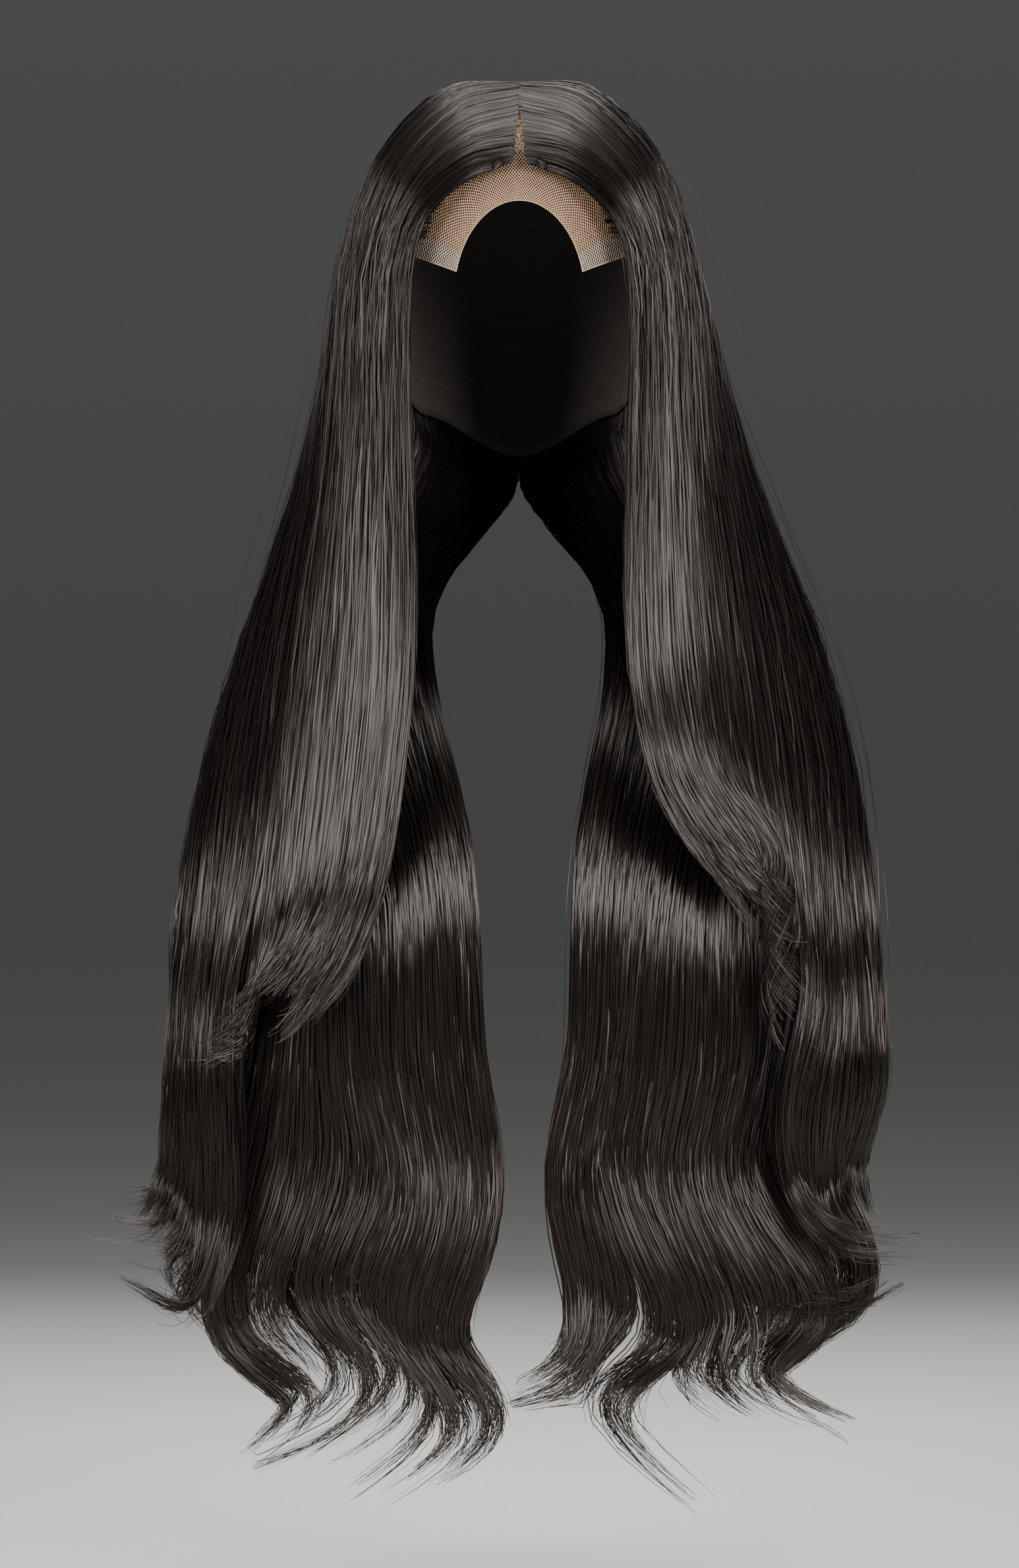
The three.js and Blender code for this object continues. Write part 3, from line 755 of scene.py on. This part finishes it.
makeFront("front_hair_left_strands", frontFallLeft, frontEndsLeft, -1, frontHair["seed"][0])
makeFront("front_hair_right_strands", frontFallRight, frontEndsRight, 1, frontHair["seed"][1])
makeBack("back_hair_left_strands", crownEndsLeft, napeEndsLeft, -1, crownHair["seed"][0])
makeBack("back_hair_right_strands", crownEndsRight, napeEndsRight, 1, crownHair["seed"][1])

# Cap: stretch net in a black dye, open below

cap = {
    "wall": 1.2,  # mm
    "around": 112, "down": 40,  # faces
    # turn from the front and how far down from the crown the rim reaches, degrees
    "rim": [(0, 38), (38, 52), (66, 82), (96, 88), (135, 112), (180, 122)],
    "cut": (0.34, 0.3),  # m, flat
    "girth": 520, "length": 400,  # mm, sides of the map
    "mesh": 1.7, "rows": 9,  # mm, net cells and sewn rows
    "hole": "#0c0a0a", "thread": "#453e3a",
}


def eased(rows, at):
    # value of a table at a place along it, eased between its rows
    rows = np.array(rows, float)
    i = np.clip(np.searchsorted(rows[:, 0], at, side="right") - 1, 0, len(rows) - 2)
    return rows[i, 1] + (rows[i + 1, 1] - rows[i, 1]) * ease(at, rows[i, 0], rows[i + 1, 0])


def mappedGrid(across, along, place):
    # grid of faces laid by a function of its two shares, in mm
    bm = bmesh.new()
    bm.loops.layers.uv.new("OFBake")
    bmesh.ops.create_grid(bm, x_segments=across, y_segments=along, size=0.5, calc_uvs=True)
    shares = np.array([vert.co[:2] for vert in bm.verts]) + 0.5
    for vert, point in zip(bm.verts, place(shares[:, 0], shares[:, 1]) * mm):
        vert.co = point
    bmesh.ops.remove_doubles(bm, verts=bm.verts, dist=1e-6)
    return bm


def meshObject(name, bm, material):
    bmesh.ops.recalc_face_normals(bm, faces=bm.faces)
    mesh = bpy.data.meshes.new(name)
    bm.to_mesh(mesh)
    bm.free()
    for face in mesh.polygons:
        face.use_smooth = True
    mesh.materials.append(material)
    return linkObject(name, mesh)


def folded(share, low, high, outer, inner):
    # out along the outer face and back along the inner one, with a rounded edge between
    there = 1 - np.abs(1 - 2 * share)
    lift = inner + (outer - inner) * ease(share, 0.5 + 0.012, 0.5 - 0.012)
    return low + (high - low) * there, lift


def capPlace(u, v):
    turn = 360 * u
    rim = eased(cap["rim"], np.minimum(turn, 360 - turn))
    down, lift = folded(v, 0, rim, cap["wall"], 0)
    return fromCrown(np.radians(turn % 360), np.radians(down), lift)


def crossedThreads(tree, uvMap, size, cell):
    # two sets of slanting threads on a map with sides in mm: 1 on a thread, 0 in a hole
    scaled = addNode(tree, "ShaderNodeVectorMath", {"operation": "MULTIPLY", 1: (*size, 1)},
                     {0: uvMap.outputs["UV"]})
    threads = []
    for slant in (1, -1):
        way = addNode(tree, "ShaderNodeVectorMath", {"operation": "DOT_PRODUCT", 1: (1, slant, 0)},
                      {0: scaled.outputs[0]})
        wave = addNode(tree, "ShaderNodeMath", {"operation": "PINGPONG", 1: cell / 2},
                       {0: way.outputs["Value"]})
        threads.append(addNode(tree, "ShaderNodeMapRange", {"From Max": cell / 2},
                               {"Value": wave.outputs[0]}))
    return scaled, addNode(tree, "ShaderNodeMath", {"operation": "MAXIMUM"},
                           {0: threads[0].outputs[0], 1: threads[1].outputs[0]})


# Black stretch net: matt knitted threads with darker holes, in sewn rows
stretchNet, tree = newMaterial("black_stretch_net")
uvMap = addNode(tree, "ShaderNodeUVMap", {"uv_map": "OFBake"})
scaled, threads = crossedThreads(tree, uvMap, (cap["girth"], cap["length"]), cap["mesh"])
sides = addNode(tree, "ShaderNodeSeparateXYZ", links={"Vector": scaled.outputs[0]})
row = addNode(tree, "ShaderNodeMath", {"operation": "PINGPONG", 1: cap["rows"] / 2},
              {0: sides.outputs["Y"]})
seam = addNode(tree, "ShaderNodeMapRange", {"From Min": 0.7, "From Max": 0.2}, {"Value": row.outputs[0]})
height = addNode(tree, "ShaderNodeMath", {"operation": "MAXIMUM"},
                 {0: threads.outputs[0], 1: seam.outputs[0]})
shade = addNode(tree, "ShaderNodeMix", {"data_type": "RGBA"}, {0: height.outputs[0]})
shade.inputs[6].default_value = studioColour(cap["hole"])
shade.inputs[7].default_value = studioColour(cap["thread"])
relief = addNode(tree, "ShaderNodeBump", {"Strength": 0.6, "Distance": 0.0004},
                 {"Height": height.outputs[0]})
shader = addNode(tree, "ShaderNodeBsdfPrincipled", {"Roughness": 0.75},
                 {"Base Color": shade.outputs[2], "Normal": relief.outputs[0]})
addNode(tree, "ShaderNodeOutputMaterial", links={"Surface": shader.outputs[0]})

capNet = meshObject("wig_cap_net", mappedGrid(cap["around"], 2 * cap["down"], capPlace), stretchNet)
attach(capNet, "root")
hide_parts("wig_cap")

# Lace: net of real threads along the front, and a closed strip along the parting

lace = {
    "cut": 25.5, "back": 53, "half": 74,  # degrees from the front axis, and round it
    "across": 74, "along": 22,  # cells, coarser than real lace so that they show
    "lift": 2.3, "thread": 0.28,  # mm
    "strip": (41, 104, 8), "stripLift": (2.5, 2.1),  # degrees from the front axis and round it, mm
    "stripFaces": (16, 40),
    "stripSize": (44, 100), "knots": 1.8,  # mm, sides of the strip's map and space between the knots
    "flat": (0.17, 0.15),  # m
    "tan": "#c4a07a", "tabs": "#c3b09d", "tabEdge": (0.075, 0.06),  # share of the width
    "knot": "#241811", "bare": "#8a6846", "knotEdge": (0.3, 0.45),  # share of the space between knots
}


def lacePlace(u, v):
    # cells keep their shape: steps outwards grow with the distance from the front axis
    low, high = (math.log(math.tan(math.radians(lace[name]) / 2)) for name in ("cut", "back"))
    angle = 2 * np.arctan(np.exp(low + (high - low) * v))
    return fromFront(angle, np.radians(lace["half"] * (2 * u - 1)), np.full(u.shape, lace["lift"]))


def stripPlace(u, v):
    low, high, half = lace["strip"]
    turn, lift = folded(u, -half, half, *lace["stripLift"])
    return fromFront(np.radians(low + (high - low) * v), np.radians(turn), lift)


# Swiss lace: pale tan threads, matt, and paler towards both sides
swissLace, tree = newMaterial("swiss_lace")
uvMap = addNode(tree, "ShaderNodeUVMap", {"uv_map": "OFBake"})
sides = addNode(tree, "ShaderNodeSeparateXYZ", links={"Vector": uvMap.outputs["UV"]})
temple = addNode(tree, "ShaderNodeMath", {"operation": "PINGPONG", 1: 0.5}, {0: sides.outputs["X"]})
tabStart, tabEnd = lace["tabEdge"]
pale = addNode(tree, "ShaderNodeMapRange", {"From Min": tabStart, "From Max": tabEnd},
               {"Value": temple.outputs[0]})
shade = addNode(tree, "ShaderNodeMix", {"data_type": "RGBA"}, {0: pale.outputs[0]})
shade.inputs[6].default_value = studioColour(lace["tan"])
shade.inputs[7].default_value = studioColour(lace["tabs"])
shader = addNode(tree, "ShaderNodeBsdfPrincipled", {"Roughness": 0.7}, {"Base Color": shade.outputs[2]})
addNode(tree, "ShaderNodeOutputMaterial", links={"Surface": shader.outputs[0]})

# Close lace along the parting: tan with the dark specks of the knots that hold the hair
knottedLace, tree = newMaterial("knotted_lace")
uvMap = addNode(tree, "ShaderNodeUVMap", {"uv_map": "OFBake"})
scaled = addNode(tree, "ShaderNodeVectorMath", {"operation": "MULTIPLY", 1: (*lace["stripSize"], 1)},
                 {0: uvMap.outputs["UV"]})
knots = addNode(tree, "ShaderNodeTexVoronoi",
                {"voronoi_dimensions": "2D", "Scale": 1 / lace["knots"], "Randomness": 0.7},
                {"Vector": scaled.outputs[0]})
knotStart, knotEnd = lace["knotEdge"]
bare = addNode(tree, "ShaderNodeMapRange", {"From Min": knotStart, "From Max": knotEnd},
               {"Value": knots.outputs["Distance"]})
shade = addNode(tree, "ShaderNodeMix", {"data_type": "RGBA"}, {0: bare.outputs[0]})
shade.inputs[6].default_value = studioColour(lace["knot"])
shade.inputs[7].default_value = studioColour(lace["bare"])
shader = addNode(tree, "ShaderNodeBsdfPrincipled", {"Roughness": 0.75}, {"Base Color": shade.outputs[2]})
addNode(tree, "ShaderNodeOutputMaterial", links={"Surface": shader.outputs[0]})

net = mappedGrid(lace["across"], lace["along"], lacePlace)
between = [edge for edge in net.edges if not edge.is_boundary]
bmesh.ops.poke(net, faces=net.faces[:])
bmesh.ops.dissolve_edges(net, edges=between, use_verts=False)
laceArea = sum(face.calc_area() for face in net.faces)
bmesh.ops.wireframe(net, faces=net.faces[:], thickness=lace["thread"] * mm, use_replace=True,
                    use_boundary=True, use_even_offset=True)
strip = mappedGrid(*lace["stripFaces"], stripPlace)
stripArea = sum(face.calc_area() for face in strip.faces) / 2
for face in strip.faces:
    face.material_index = 1
stripMesh = bpy.data.meshes.new("parting_strip")
strip.to_mesh(stripMesh)
strip.free()
net.from_mesh(stripMesh)
bpy.data.meshes.remove(stripMesh)
laceNet = meshObject("lace_front_net", net, swissLace)
laceNet.data.materials.append(knottedLace)
print("lace made,", len(laceNet.data.polygons), "faces, area", round(laceArea + stripArea, 5))
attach(laceNet, "root")
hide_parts("lace_front")
